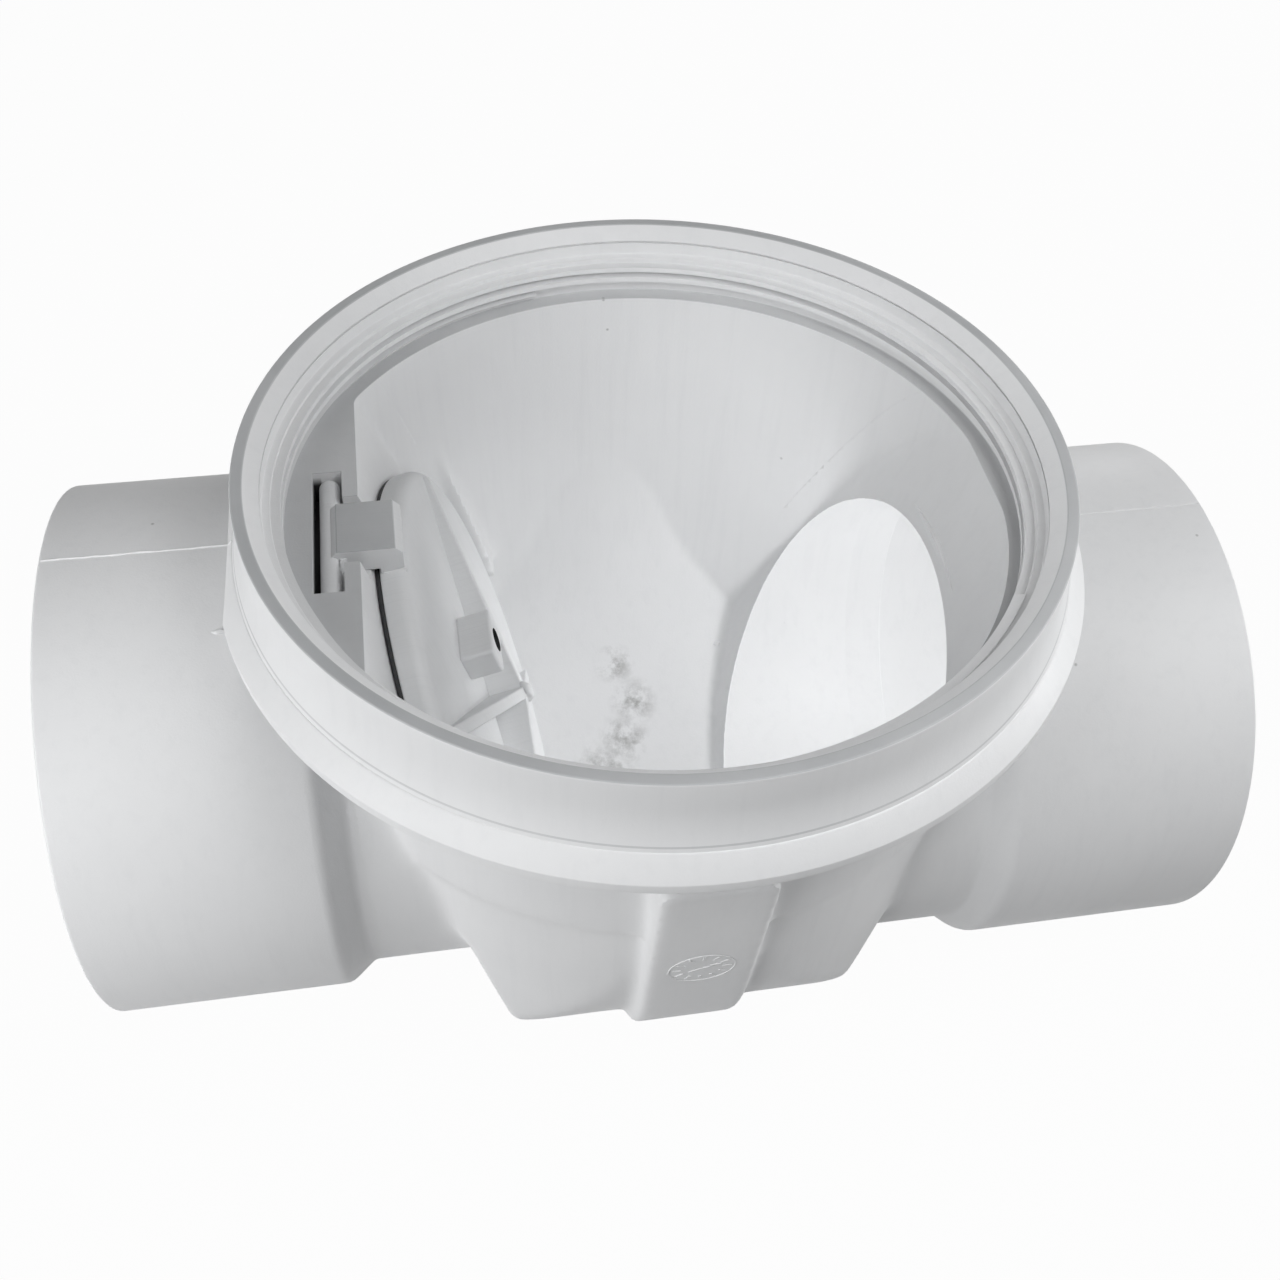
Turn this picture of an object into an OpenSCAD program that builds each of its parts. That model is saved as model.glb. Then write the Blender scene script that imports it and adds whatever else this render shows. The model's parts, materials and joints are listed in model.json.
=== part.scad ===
// Backwater valve with solvent-weld hubs, a screw-cap access collar and a drop-in flapper.
// Lengths are millimetres. X runs along the flow, Z is up, and the part stands on z = 0.

/* [Pipe hubs] */
// Radius of the socket that takes the pipe end
socket_r = 84.35; // [70:0.05:100]
// Depth of each socket, from its mouth to the stop
socket_depth = 76.2; // [50:0.1:100]
// Wall of each hub around its socket
hub_wall = 7.15; // [6.2:0.05:9]
// Width of the stop at the bottom of each socket
stop_w = 6.35; // [5.6:0.05:8]
// Wall of the necks
neck_wall = 6.6; // [5:0.1:7.4]
// Length of the sloping shoulder from neck to hub
shoulder_len = 10; // [7:0.5:12]
// Distance from the inlet neck's end to the stop
inlet_stop_t = 11.3; // [9:0.1:20]
// Distance from the outlet neck's end to the stop
outlet_stop_t = 16.8; // [10:0.1:30]
// Shortest length of the inlet neck, along its top
inlet_neck_min = 1.5; // [0.5:0.1:12]
// Shortest length of the outlet neck, along its top
outlet_neck_min = 1.8; // [0.5:0.1:12]
// Width of the lead-in bevel at each socket mouth
socket_bevel = 2.2; // [1:0.1:4]
// Bevel on the outer edge of each mouth
mouth_bevel = 1; // [0.4:0.1:2]
// Fall of the outlet axis below the inlet axis
outlet_drop = 19.5; // [15:0.5:26]

/* [Access collar] */
// How much wider than the flow passage the throat is
throat_margin = 35.1; // [31:0.1:42]
// Width of the ledge under the thread
thread_ledge = 3.3; // [2:0.1:5]
// Depth of the cap thread
thread_depth = 1.6; // [1:0.1:2.4]
// Pitch of the cap thread
thread_pitch = 4.2; // [3:0.1:6]
// Number of thread turns
thread_turns = 3; // [2:1:5]
// Height of the plain root below the thread
thread_rest = 1; // [0.5:0.1:3]
// Height of the step above the thread
thread_lead = 0.6; // [0.3:0.1:2]
// Width of the step from the thread up to the plain bore
plain_step = 3; // [2:0.1:5]
// Height of the plain bore above the thread
plain_len = 5; // [3:0.1:10]
// Depth of the bevel between the rim and the plain bore
lead_drop = 4.4; // [3:0.1:7]
// Width of that bevel
lead_w = 4.5; // [3:0.1:6]
// Width of the flat land on top of the rim
rim_land = 3.5; // [2:0.1:6]
// Rounding bevel on the rim's outer edge
rim_bevel = 0.6; // [0.3:0.1:1.2]
// How much wider the collar is at its foot than at its rim
collar_flare = 3.3; // [1:0.1:6]
// Height of the collar's foot below the ledge
collar_foot_drop = 1.4; // [0.5:0.1:3]
// Width of the flange outside the collar's foot
flange_w = 6.2; // [4.5:0.1:12]
// Height of the flange's upper outer edge below the ledge
flange_edge_drop = 7.7; // [5:0.1:9]
// Height of the upright face at the flange's edge
flange_edge_h = 3.2; // [2:0.1:4]
// Depth of the flange's underside below the ledge
flange_drop = 14.4; // [12.8:0.1:18]

/* [Chamber] */
// Wall of the chamber bowl
bowl_wall = 6; // [5.2:0.1:9]
// Inward lean of the chamber wall, millimetres per millimetre of depth
bowl_draft = 0.045; // [0.01:0.005:0.05]
// Outward lean of the trough's sides, millimetres per millimetre of height
trough_draft = 0.16; // [0.12:0.01:0.2]
// Wall of the plain drum under the flange
drum_wall = 6; // [5:0.1:8]
// Height of the drum below the flange
drum_h = 53; // [40:0.5:60]
// Thickness of the flat floor
floor_t = 5; // [3:0.1:6]
// Lean of the seat from upright, in degrees
seat_tilt = 16; // [14:0.5:18]
// Thickness of the wall that carries the seat
seat_wall_t = 10.4; // [8:0.1:13]
// Depth of the guides beside the flapper, from the seat
guide_t = 13; // [10:0.1:14]
// Gap between the flapper's edge and its guides
guide_gap = 1.5; // [1:0.1:3]
// Distance from the ledge down to the guides
guide_drop = 46.4; // [44:0.1:60]
// Height of the guides
guide_h = 68; // [40:0.5:90]
// How much narrower than the flow passage the port is
port_step = 3; // [1:0.1:6]
// Lean of the outlet wall from upright, in degrees
outlet_tilt = 20; // [18:0.5:22]
// Distance from the throat in to the outlet wall, at the flange's underside
outlet_inset = 6.5; // [4:0.1:9]
// Thickness of the outlet wall
outlet_wall_t = 6.6; // [4:0.1:9]
// Distance from the ledge down to the outlet wall's top
outlet_wall_drop = 2.4; // [1:0.1:5]
// How far the outlet wall comes down beside the outlet neck's top
outlet_wall_lap = 20; // [14:0.5:26]

/* [Front plate] */
// Width of the raised plate on the front
plate_w = 36; // [24:1:60]
// Height of the raised plate
plate_h = 133; // [100:1:136]
// Distance of the plate's middle downstream of the access axis
plate_x = -1; // [-6:0.5:6]
// Distance from the flange's underside down to the plate
plate_drop = 25; // [18:0.5:45]
// How far the plate stands proud
plate_t = 5; // [2:0.5:8]
// Corner radius of the plate
plate_corner = 6; // [2:0.5:10]

/* [Hinge] */
// Width of the shelf that holds the hinge slot, along the flow
deck_w = 19.6; // [17:0.1:22]
// Depth of the shelf below the slot
deck_web = 7; // [5:0.1:10]
// Length of the slot across the flow
slot_l = 54.5; // [46:0.5:64]
// Width of the slot along the flow
slot_w = 9.5; // [8.5:0.1:11]
// Depth of the slot
slot_depth = 8.4; // [7.4:0.1:10]
// Wall left between the slot and the flow passage's outside
slot_web = 1.4; // [1:0.1:4]
// Width of the channel that lets the arm out of the slot
channel_w = 30; // [25:0.5:38]
// Radius of the hinge bar
bar_r = 3.3; // [2.6:0.1:3.7]
// Distance from the shelf's edge back to the hinge bar
bar_inset = 9.2; // [8:0.1:11]
// How far the slot's middle lies behind the bar
slot_offset = 0.4; // [0:0.1:0.8]
// End clearance of the bar in its slot, at each end
bar_end_gap = 0.75; // [0.4:0.05:1.5]
// Width of the hinge arm
arm_w = 22; // [16:0.5:24]
// How far the arm stands above the shelf
arm_proud = 0.6; // [0:0.1:2]
// How far the arm reaches past the shelf's edge
arm_reach = 13; // [11.5:0.1:14]
// Bevel at the arm's top corners
arm_bevel = 2.4; // [1:0.1:3]

/* [Flapper] */
// How much wider than the flow passage the flapper disc is
disc_lap = 9.5; // [8:0.1:10.5]
// Thickness of the flapper disc
disc_t = 8.5; // [7:0.1:10]
// Bevel on the disc's front edge
disc_bevel = 1.2; // [0.5:0.1:2]
// Thickness of the flapper gasket
gasket_t = 2.2; // [1.5:0.1:3]
// Distance from the disc's edge in to the gasket
gasket_inset = 5.5; // [4:0.1:7]
// How far the gasket reaches inside the port
gasket_lap = 3; // [1:0.1:6]
// Height of the stiffening ribs where they cross
rib_h = 13.3; // [8:0.1:18]
// Height of the ribs at the rim
rib_end_h = 1.5; // [1:0.1:4]
// Thickness of the ribs
rib_t = 4.5; // [3:0.1:6]
// Distance from the rib ends to the disc's edge
rib_margin = 3; // [2:0.5:8]
// Angle of the ribs from the upright, in degrees
rib_angle = 45; // [42:1:50]
// Width of the drilled boss across the flow
boss_w = 20; // [14:0.5:24]
// Height of the drilled boss along the disc
boss_h = 12; // [10.5:0.5:14]
// How far the boss stands off the disc
boss_t = 12; // [10.5:0.5:15]
// Height of the boss above the disc's middle
boss_up = 31; // [27:0.5:36]
// Radius of the hole in the boss
boss_hole_r = 4.2; // [2:0.1:4.8]
// Depth of the hole in the boss
boss_hole_depth = 10; // [5:0.5:10]

/* [Fits] */
// Gap between the closed gasket and the seat
seat_gap = 0.3; // [0.2:0.05:0.5]
// Gap between the hinge bar and the floor of its slot
bar_floor_gap = 0.3; // [0.2:0.05:0.5]
// Running clearance between the hinge bar and the arm
bar_clear = 0.08; // [0.02:0.01:0.1]
// Gap between the arm and the floor of its channel
arm_floor_gap = 0.45; // [0.3:0.05:0.8]
// Gap between the arm's back and the disc's back, over the shelf's edge
arm_back_gap = 0.3; // [0.2:0.05:0.8]

/* [Hidden] */
$fn = 180;
pvc = "#d6dadb";
pvc_flap = "#cfd4d5";
rubber = "#1b1c1e";
far = 900;
// Flow passage
hub_r = socket_r + hub_wall;
bore_r = socket_r - stop_w;
neck_r = bore_r + neck_wall;
port_r = bore_r - port_step;
axis_h = outlet_drop + hub_r;
// Heights above the inlet axis
floor_z = -axis_h;
slot_floor = neck_r + slot_web;
ledge_z = slot_floor + slot_depth;
deck_floor = slot_floor - deck_web;
flange_z = ledge_z - flange_drop;
flange_edge_z = ledge_z - flange_edge_drop;
collar_foot_z = ledge_z - collar_foot_drop;
collar_z = slot_floor;
thread_top = ledge_z + thread_rest + thread_turns * thread_pitch;
plain_foot = thread_top + thread_lead;
plain_top = plain_foot + plain_len;
rim_z = plain_top + lead_drop;
thread_half = thread_pitch / 2;
crest_half = thread_pitch / 6;
// Radii about the access axis
throat_r = bore_r + throat_margin;
thread_crest_r = throat_r + thread_ledge;
thread_root_r = thread_crest_r + thread_depth;
plain_r = thread_root_r + plain_step;
rim_in_r = plain_r + lead_w;
rim_r = rim_in_r + rim_land;
collar_foot_r = rim_r + collar_flare;
flange_r = collar_foot_r + flange_w;
// Trough round the flow axis
trough_in_r = axis_h - floor_t;
trough_r = trough_in_r + bowl_wall;
// Distances from the access axis, along the flow
deck_edge = throat_r - deck_w;
seat_back = deck_edge - ledge_z * tan(seat_tilt);
inlet_neck_end = seat_back + seat_wall_t / cos(seat_tilt) + neck_r * tan(seat_tilt) + inlet_neck_min;
inlet_len = inlet_neck_end + inlet_stop_t + socket_depth;
inlet_hub_len = inlet_stop_t + socket_depth - shoulder_len;
outlet_wall_x = throat_r - outlet_inset - flange_z * tan(outlet_tilt);
outlet_neck_end = outlet_wall_x + (neck_r - outlet_drop) * tan(outlet_tilt) + outlet_neck_min;
outlet_len = outlet_neck_end + outlet_stop_t + socket_depth;
outlet_hub_len = outlet_stop_t + socket_depth - shoulder_len;
shift_x = (inlet_len - outlet_len) / 2;
// Flapper and hinge
disc_r = bore_r + disc_lap;
gasket_r = disc_r - gasket_inset;
gasket_bore_r = port_r - gasket_lap;
disc_back = seat_gap + gasket_t;
disc_front = disc_back + disc_t;
bar_back = deck_edge + bar_inset;
bar_z = slot_floor + bar_floor_gap + bar_r;
bar_l = slot_l - 2 * bar_end_gap;
arm_top = ledge_z + arm_proud;
arm_floor = slot_floor + arm_floor_gap;
arm_end_back = deck_edge - arm_reach;
// Back edge of the disc's rim at the top, where the arm comes down onto it
rim_back_x = -seat_back + disc_back * cos(seat_tilt) - disc_r * sin(seat_tilt);
arm_foot = disc_r * cos(seat_tilt) - disc_bevel;
plate_top = flange_z - plate_drop;
plate_bottom = plate_h - plate_top;
guide_top = ledge_z - guide_drop;
outlet_wall_top = ledge_z - outlet_wall_drop;
outlet_wall_foot = neck_r - outlet_drop - outlet_wall_lap;

// Inner radius of the chamber wall at a height above the inlet axis
function wall_r(z) = throat_r - bowl_draft * (flange_z - z);

// From the valve's own axes to the part's frame
module place() {
    translate([shift_x, 0, axis_h]) children();
}

// Turns a profile's axis along the flow
module along_flow() {
    rotate([0, 90, 0]) children();
}

// Extrudes a cross-section of the flow passage along the flow
module extrude_flow(length) {
    rotate([90, 0, 90]) linear_extrude(length, center = true) children();
}

// The seat's own axes: the third one leaves the seat, the first one points down along it
module on_seat(h = 0) {
    translate([-seat_back, 0, 0]) rotate([0, 90 - seat_tilt, 0]) translate([0, 0, h]) children();
}

// The outlet wall's own axes: the third one leaves the chamber
module on_outlet(h = 0) {
    translate([outlet_wall_x, 0, 0]) rotate([0, 90 + outlet_tilt, 0]) translate([0, 0, h]) children();
}

// Everything on the near side of a plane
module below_plane() {
    translate([0, 0, -far / 2]) cube(far, center = true);
}

// Everything on the far side of a plane
module above_plane() {
    translate([0, 0, far / 2]) cube(far, center = true);
}

// Cross-section of the trough: a round bottom with a flat floor, and sides that lean outwards
module trough_section(r, floor_level) {
    lean = atan(trough_draft);
    side = r * cos(lean);
    foot = -r * sin(lean);
    top_side = side + trough_draft * (far / 2 - foot);
    intersection() {
        union() {
            circle(r);
            polygon([[-side, foot], [side, foot], [top_side, far / 2], [-top_side, far / 2]]);
        }
        translate([-far / 2, floor_level]) square(far);
    }
}

// Space inside the chamber, up to the ledge under the thread
module chamber_space() {
    intersection() {
        rotate_extrude() polygon([
            [0, floor_z], [wall_r(floor_z), floor_z], [throat_r, flange_z],
            [throat_r, ledge_z], [0, ledge_z]
        ]);
        extrude_flow(far) trough_section(trough_in_r, floor_z + floor_t);
    }
}

// Outside of the chamber, up to the flange
module chamber_skin() {
    intersection() {
        rotate_extrude() polygon([
            [0, floor_z], [wall_r(floor_z) + bowl_wall, floor_z],
            [throat_r + bowl_wall, flange_z], [0, flange_z]
        ]);
        extrude_flow(far) trough_section(trough_r, floor_z);
    }
    translate([0, 0, flange_z - drum_h]) cylinder(r = throat_r + drum_wall, h = drum_h);
}

// Way of the flapper between its guides, open upwards so that it can be lifted out
module flapper_way() {
    way_r = disc_r + guide_gap;
    on_seat(-guide_t) {
        cylinder(r = way_r, h = 3 * guide_t);
        translate([-far, -way_r, 0]) cube([far, 2 * way_r, 3 * guide_t]);
    }
}

// Outer profile of a hub's shoulder, from the neck at zero
function shoulder_profile() = [
    [neck_r, 0], [neck_r + hub_wall * 0.35, shoulder_len * 0.35],
    [hub_r - hub_wall * 0.12, shoulder_len * 0.85], [hub_r, shoulder_len + hub_wall * 0.2]
];

// One hub with its socket, from the neck at zero to the mouth
module hub(straight) {
    mouth = straight + shoulder_len;
    stop = mouth - socket_depth;
    rotate_extrude() polygon(concat(
        [[bore_r, 0]],
        shoulder_profile(),
        [[hub_r, mouth - mouth_bevel], [hub_r - mouth_bevel, mouth], [socket_r + socket_bevel, mouth],
         [socket_r, mouth - socket_bevel], [socket_r, stop], [bore_r, stop]]
    ));
}

// The same hub as a solid plug, for cutting other pieces to it
module hub_plug(straight) {
    mouth = straight + shoulder_len;
    rotate_extrude() polygon(concat([[0, 0]], shoulder_profile(), [[hub_r, mouth], [0, mouth]]));
}

// Axes at the end of the inlet neck: the third one leaves through the mouth
module at_inlet() {
    translate([-inlet_neck_end, 0, 0]) mirror([1, 0, 0]) along_flow() children();
}

// Axes at the end of the outlet neck: the third one leaves through the mouth
module at_outlet() {
    translate([outlet_neck_end, 0, -outlet_drop]) along_flow() children();
}

// Solid outline of the inlet hub and neck, which the pieces above them are cut to
module inlet_outline() {
    at_inlet() hub_plug(inlet_hub_len);
    along_flow() translate([0, 0, -inlet_len]) cylinder(r = neck_r, h = inlet_len);
}

// Solid outline of the outlet neck and hub beyond the outlet wall's inner face
module outlet_outline() {
    intersection() {
        union() {
            at_outlet() hub_plug(outlet_hub_len);
            translate([0, 0, -outlet_drop]) along_flow() cylinder(r = neck_r, h = outlet_len);
        }
        on_outlet() above_plane();
    }
}

// Pocket for the hinge bar and the channel for its arm
module hinge_pocket() {
    translate([-bar_back - slot_w / 2 - slot_offset, -slot_l / 2, slot_floor]) cube([slot_w, slot_l, far]);
    translate([-bar_back, -channel_w / 2, slot_floor]) cube([far, channel_w, far]);
}

// Rounded outline of the front plate, standing in the plane of the front
module plate_outline() {
    low = -plate_bottom + plate_corner;
    high = plate_top - plate_corner;
    side = plate_w / 2 - plate_corner;
    union() {
        translate([-plate_w / 2, low]) square([plate_w, high - low]);
        translate([-side, -plate_bottom]) square([2 * side, plate_top + plate_bottom]);
        for (x = [-side, side], y = [low, high]) translate([x, y]) circle(plate_corner);
    }
}

// Tapered rib standing on the disc's front, between two places along its length
module rib(from, to) {
    slope = (rib_h - rib_end_h) / (disc_r - rib_margin);
    function height(s) = rib_h - slope * abs(s);
    peak = from < 0 && to > 0 ? [[0, rib_h]] : [];
    rotate([90, 0, 0]) linear_extrude(rib_t, center = true)
        polygon(concat([[to, 0], [to, height(to)]], peak, [[from, height(from)], [from, 0]]));
}

module sump_bowl() {
    color(pvc) place() difference() {
        chamber_skin();
        difference() {
            chamber_space();
            intersection() {
                on_outlet() above_plane();
                translate([0, 0, outlet_wall_foot]) below_plane();
            }
        }
        on_seat(-seat_wall_t) below_plane();
        on_outlet(outlet_wall_t) above_plane();
        outlet_outline();
    }
}

module seat_wall() {
    color(pvc) place() {
        difference() {
            intersection() {
                chamber_space();
                on_seat(-seat_wall_t) above_plane();
                on_seat() below_plane();
                translate([0, 0, deck_floor]) below_plane();
            }
            on_seat(-seat_wall_t) cylinder(r = port_r, h = 3 * seat_wall_t, center = true);
        }
        difference() {
            intersection() {
                chamber_space();
                on_seat() cylinder(r = 2 * disc_r, h = guide_t);
                translate([-far / 2, -far / 2, guide_top - guide_h]) cube([far, far, guide_h]);
            }
            flapper_way();
        }
    }
}

module outlet_wall() {
    color(pvc) place() difference() {
        intersection() {
            chamber_space();
            on_outlet() above_plane();
            on_outlet(outlet_wall_t) below_plane();
            translate([0, 0, outlet_wall_top]) below_plane();
            translate([0, 0, outlet_wall_foot]) above_plane();
        }
        outlet_outline();
    }
}

module inlet_neck() {
    color(pvc) place() difference() {
        translate([-inlet_neck_end, 0, 0]) along_flow() difference() {
            cylinder(r = neck_r, h = inlet_neck_end);
            cylinder(r = bore_r, h = 3 * inlet_neck_end, center = true);
        }
        on_seat(-seat_wall_t) above_plane();
    }
}

module inlet_hub() {
    color(pvc) place() difference() {
        at_inlet() hub(inlet_hub_len);
        hinge_pocket();
    }
}

module outlet_neck() {
    color(pvc) place() difference() {
        translate([0, 0, -outlet_drop]) along_flow() difference() {
            cylinder(r = neck_r, h = outlet_neck_end);
            cylinder(r = bore_r, h = 3 * outlet_neck_end, center = true);
        }
        on_outlet() below_plane();
    }
}

module outlet_hub() {
    color(pvc) place() at_outlet() hub(outlet_hub_len);
}

module flange_ring() {
    color(pvc) place() difference() {
        rotate_extrude() polygon([
            [throat_r, flange_z], [flange_r - flange_edge_h, flange_z],
            [flange_r, flange_edge_z - flange_edge_h], [flange_r, flange_edge_z],
            [collar_foot_r, collar_foot_z], [collar_foot_r, collar_z], [throat_r, collar_z]
        ]);
        inlet_outline();
    }
}

module access_collar() {
    ridges = [
        for (i = [0 : thread_turns - 1], p = [[0, -1, 0], [1, -1, 1], [1, 1, 1], [0, 1, 0]])
            let (middle = thread_top - thread_pitch * i - thread_half)
            [p[0] == 0 ? thread_root_r : thread_crest_r,
             middle - p[1] * (p[2] == 0 ? thread_half : crest_half)]
    ];
    color(pvc) place() difference() {
        rotate_extrude() polygon(concat(
            [[collar_foot_r, collar_z], [collar_foot_r, collar_foot_z], [rim_r, rim_z - rim_bevel],
             [rim_r - rim_bevel, rim_z], [rim_in_r, rim_z], [plain_r, plain_top],
             [plain_r, plain_foot], [thread_root_r, thread_top]],
            ridges,
            [[thread_root_r, ledge_z], [throat_r, ledge_z], [throat_r, collar_z]]
        ));
        inlet_outline();
    }
}

module hinge_deck() {
    color(pvc) place() difference() {
        intersection() {
            chamber_space();
            on_seat() below_plane();
            translate([0, 0, deck_floor]) above_plane();
        }
        hinge_pocket();
        intersection() {
            inlet_outline();
            on_seat(-seat_wall_t) below_plane();
        }
    }
}

module front_plate() {
    color(pvc) place() difference() {
        intersection() {
            extrude_flow(far) trough_section(trough_r + plate_t, floor_z);
            translate([plate_x, 0, 0]) rotate([90, 0, 0]) linear_extrude(far) plate_outline();
        }
        chamber_skin();
    }
}

module hinge_bar() {
    color(pvc_flap) place() translate([-bar_back, 0, bar_z])
        rotate([90, 0, 0]) cylinder(r = bar_r, h = bar_l, center = true);
}

module hinge_arm() {
    color(pvc_flap) place() difference() {
        rotate([90, 0, 0]) linear_extrude(arm_w, center = true) polygon([
            [-bar_back, arm_floor], [rim_back_x + arm_back_gap, arm_floor],
            [rim_back_x + arm_back_gap, arm_foot],
            [-arm_end_back, arm_foot], [-arm_end_back, arm_top - arm_bevel],
            [-arm_end_back - arm_bevel, arm_top], [-bar_back + arm_bevel, arm_top],
            [-bar_back, arm_top - arm_bevel]
        ]);
        translate([-bar_back, 0, bar_z]) rotate([90, 0, 0])
            cylinder(r = bar_r + bar_clear, h = far, center = true);
        on_seat(-disc_t) cylinder(r = disc_r, h = 4 * disc_t);
    }
}

module flapper_disc() {
    color(pvc_flap) place() on_seat(disc_back) rotate_extrude() polygon([
        [0, 0], [disc_r, 0], [disc_r, disc_t - disc_bevel], [disc_r - disc_bevel, disc_t], [0, disc_t]
    ]);
}

module flapper_gasket() {
    color(rubber) place() on_seat(seat_gap) difference() {
        cylinder(r = gasket_r, h = gasket_t);
        cylinder(r = gasket_bore_r, h = 3 * gasket_t, center = true);
    }
}

module long_rib() {
    reach = disc_r - rib_margin;
    color(pvc_flap) place() on_seat(disc_front) rotate([0, 0, -rib_angle]) rib(-reach, reach);
}

// Half of the second rib, which meets the long rib's side
module half_rib(turn) {
    color(pvc_flap) place() on_seat(disc_front) rotate([0, 0, 90 - rib_angle + turn])
        rib(rib_t / 2 / sin(2 * rib_angle), disc_r - rib_margin);
}

module lower_rib() {
    half_rib(0);
}

module upper_rib() {
    half_rib(180);
}

module lift_boss() {
    color(pvc_flap) place() on_seat(disc_front) translate([-boss_up, 0, 0]) difference() {
        translate([-boss_h / 2, -boss_w / 2, 0]) cube([boss_h, boss_w, boss_t]);
        translate([0, 0, boss_t - boss_hole_depth]) cylinder(r = boss_hole_r, h = boss_t);
    }
}

sump_bowl();
seat_wall();
outlet_wall();
inlet_neck();
inlet_hub();
outlet_neck();
outlet_hub();
flange_ring();
access_collar();
hinge_deck();
front_plate();
hinge_bar();
hinge_arm();
flapper_disc();
flapper_gasket();
long_rib();
lower_rib();
upper_rib();
lift_boss();
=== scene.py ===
import json
import math
import random

import bmesh
import bpy
from mathutils import Matrix, Vector


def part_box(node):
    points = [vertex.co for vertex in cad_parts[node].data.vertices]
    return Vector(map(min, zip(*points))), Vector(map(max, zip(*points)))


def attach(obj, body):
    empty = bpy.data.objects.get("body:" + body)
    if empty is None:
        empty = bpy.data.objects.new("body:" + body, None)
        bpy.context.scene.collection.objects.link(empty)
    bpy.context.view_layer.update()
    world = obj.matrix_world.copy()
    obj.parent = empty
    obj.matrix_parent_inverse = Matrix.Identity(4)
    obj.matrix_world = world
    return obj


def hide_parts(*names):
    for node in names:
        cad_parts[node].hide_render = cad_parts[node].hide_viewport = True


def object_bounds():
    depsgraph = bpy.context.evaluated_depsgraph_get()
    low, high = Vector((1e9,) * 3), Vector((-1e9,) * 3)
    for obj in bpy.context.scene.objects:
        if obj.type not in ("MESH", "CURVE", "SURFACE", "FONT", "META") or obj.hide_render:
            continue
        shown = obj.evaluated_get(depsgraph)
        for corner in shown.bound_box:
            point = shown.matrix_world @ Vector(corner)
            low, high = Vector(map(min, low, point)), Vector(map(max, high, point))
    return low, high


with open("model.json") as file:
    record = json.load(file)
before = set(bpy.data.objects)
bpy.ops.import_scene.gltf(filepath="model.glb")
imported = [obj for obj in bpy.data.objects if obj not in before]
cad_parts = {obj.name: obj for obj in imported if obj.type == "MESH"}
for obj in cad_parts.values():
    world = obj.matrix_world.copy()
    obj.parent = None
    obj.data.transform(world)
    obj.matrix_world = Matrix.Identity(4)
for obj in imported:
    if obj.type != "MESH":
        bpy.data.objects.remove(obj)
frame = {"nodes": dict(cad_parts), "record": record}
cadLow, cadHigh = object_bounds()
mm = 0.001
mounts = {m["name"]: m for m in frame["record"]["mounts"]}
print("frame loaded:", len(frame["nodes"]), "nodes")

# The valve's own axes: x along the flow from the access axis, z up from the inlet axis, in millimetres
valve = {
    "centreX": mounts["access_opening"]["pos_m"][0],
    "axisHeight": mounts["inlet_socket"]["pos_m"][2],
    "outletDrop": (mounts["inlet_socket"]["pos_m"][2] - mounts["outlet_socket"]["pos_m"][2]) / mm,
    "socketR": mounts["inlet_socket"]["dims"]["r_mm"],
    "hubR": 91.5,
    "boreR": 78,
    "neckR": 84.6,
    "seatTilt": math.radians(16),
    "seatWall": 10.4,
    "outletTilt": math.radians(20),
    "outletWall": 6.6,
    "outletX": 77.48,
    "portR": 75,
    "drumR": 119.1,
    "throatR": 113.1,
}
acrossFlow = Vector((0, 1, 0))
alongFlow = Vector((1, 0, 0))
upward = Vector((0, 0, 1))
seatOut = Vector((math.cos(valve["seatTilt"]), 0, math.sin(valve["seatTilt"])))
seatDown = Vector((math.sin(valve["seatTilt"]), 0, -math.cos(valve["seatTilt"])))
outletOut = Vector((math.cos(valve["outletTilt"]), 0, -math.sin(valve["outletTilt"])))


def at(x, y, z):
    return Vector((valve["centreX"] + x * mm, y * mm, valve["axisHeight"] + z * mm))


# the gasket is a plain ring, so its box gives the middle of the seat
gasket = {"seatGap": 0.3, "thick": 2.2, "pressed": 1.5, "outerR": 87, "boreR": 72,
          "backRounds": (0.4, 0.5), "frontRound": 0.3}
disc = {"radius": 87.5, "back": 1.8, "thick": 9.2, "frontRound": 4.2, "backRound": 0.8}
discFront = disc["back"] + disc["thick"]
boss = {"width": 20, "height": 12, "depth": 12, "up": 31, "sink": 0.5, "edgeRound": 1.2,
        "holeR": 4.2, "holeDepth": 10, "holeRound": 0.5, "holeSteps": 48}
gasketLow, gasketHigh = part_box("flapper_gasket")
seatMiddle = (gasketLow + gasketHigh) / 2 - seatOut * (gasket["seatGap"] + gasket["thick"] / 2) * mm
outletMiddle = at(valve["outletX"], 0, 0)
collarAxis = at(0, 0, 0)


def onSeat(out, down, side):
    return seatMiddle + (seatOut * out + seatDown * down + acrossFlow * side) * mm


# Shader wires: sums of values become Math nodes
class Wire:
    def __init__(self, tree, socket=None):
        self.tree = tree
        self.socket = socket

    def make(self, kind, settings, inputs, output=0):
        node = self.tree.nodes.new(kind)
        for name, value in settings.items():
            setattr(node, name, value)
        for name, value in inputs.items():
            if isinstance(value, Wire):
                self.tree.links.new(value.socket, node.inputs[name])
            else:
                node.inputs[name].default_value = value
        return Wire(self.tree, node.outputs[output])

    def maths(self, operation, left, right):
        return self.make("ShaderNodeMath", {"operation": operation}, {0: left, 1: right})

    def __add__(self, other):
        return self.maths("ADD", self, other)

    def __radd__(self, other):
        return self.maths("ADD", other, self)

    def __sub__(self, other):
        return self.maths("SUBTRACT", self, other)

    def __rsub__(self, other):
        return self.maths("SUBTRACT", other, self)

    def __mul__(self, other):
        return self.maths("MULTIPLY", self, other)

    def __rmul__(self, other):
        return self.maths("MULTIPLY", other, self)


def newFinish(name):
    finish = bpy.data.materials.new(name)
    finish.use_nodes = True
    tree = finish.node_tree
    shader = tree.nodes["Principled BSDF"]
    return finish, Wire(tree), shader


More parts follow.
